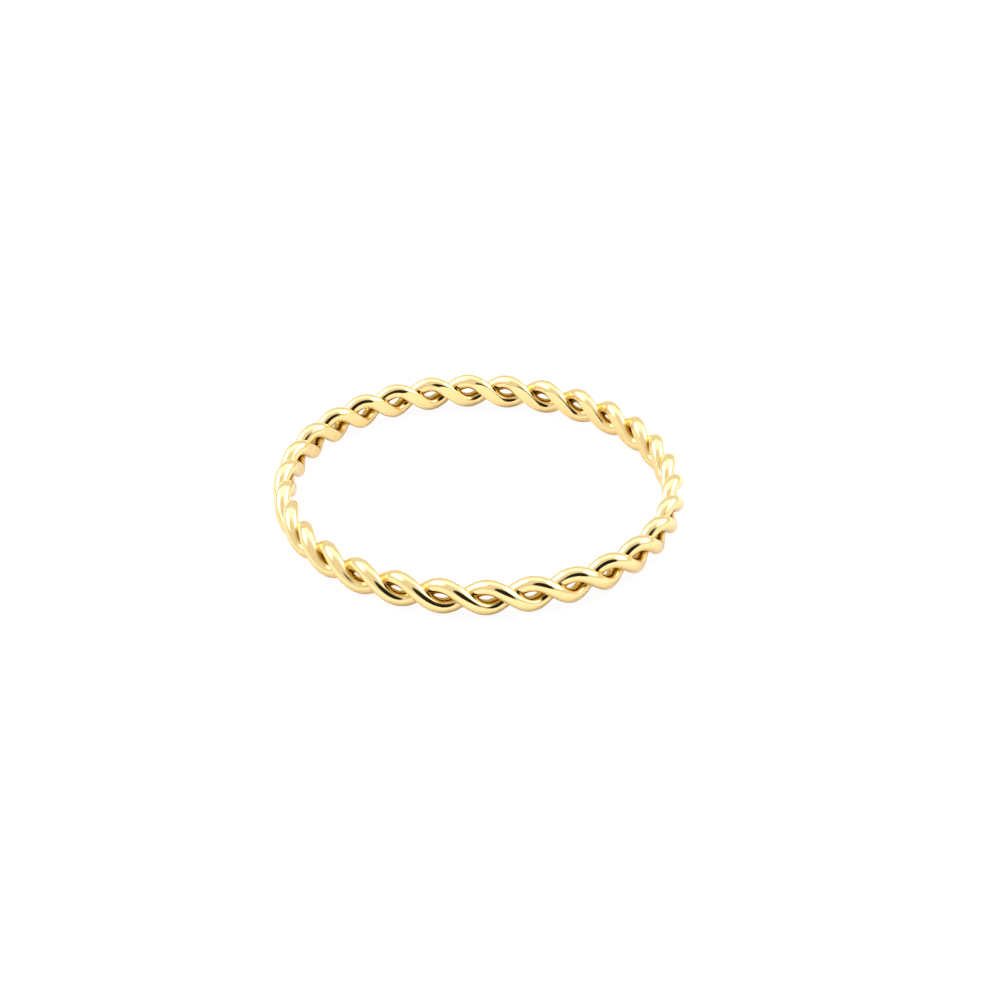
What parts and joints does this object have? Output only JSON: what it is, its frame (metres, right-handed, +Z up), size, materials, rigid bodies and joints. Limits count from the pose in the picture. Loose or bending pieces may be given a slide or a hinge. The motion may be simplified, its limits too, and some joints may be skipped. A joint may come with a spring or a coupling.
{
  "type": "finger ring",
  "caption": "Slim stacking ring made of round gold strands twisted round each other like a rope, with open gaps between them and a flat inside.",
  "frame": {"origin": "on the ring's axis, at the level of the surface that the ring lies on", "axes": "+Z up along the ring's axis, through the finger hole; the ring lies on its side in the XY plane, and -Y is the side nearest to the viewer of the picture"},
  "size_m": [0.0194, 0.0194, 0.0017],
  "materials": {
    "gold": "polished"
  },
  "bodies": {
    "root": {"twisted_band": "gold"}
  },
  "joints": []
}
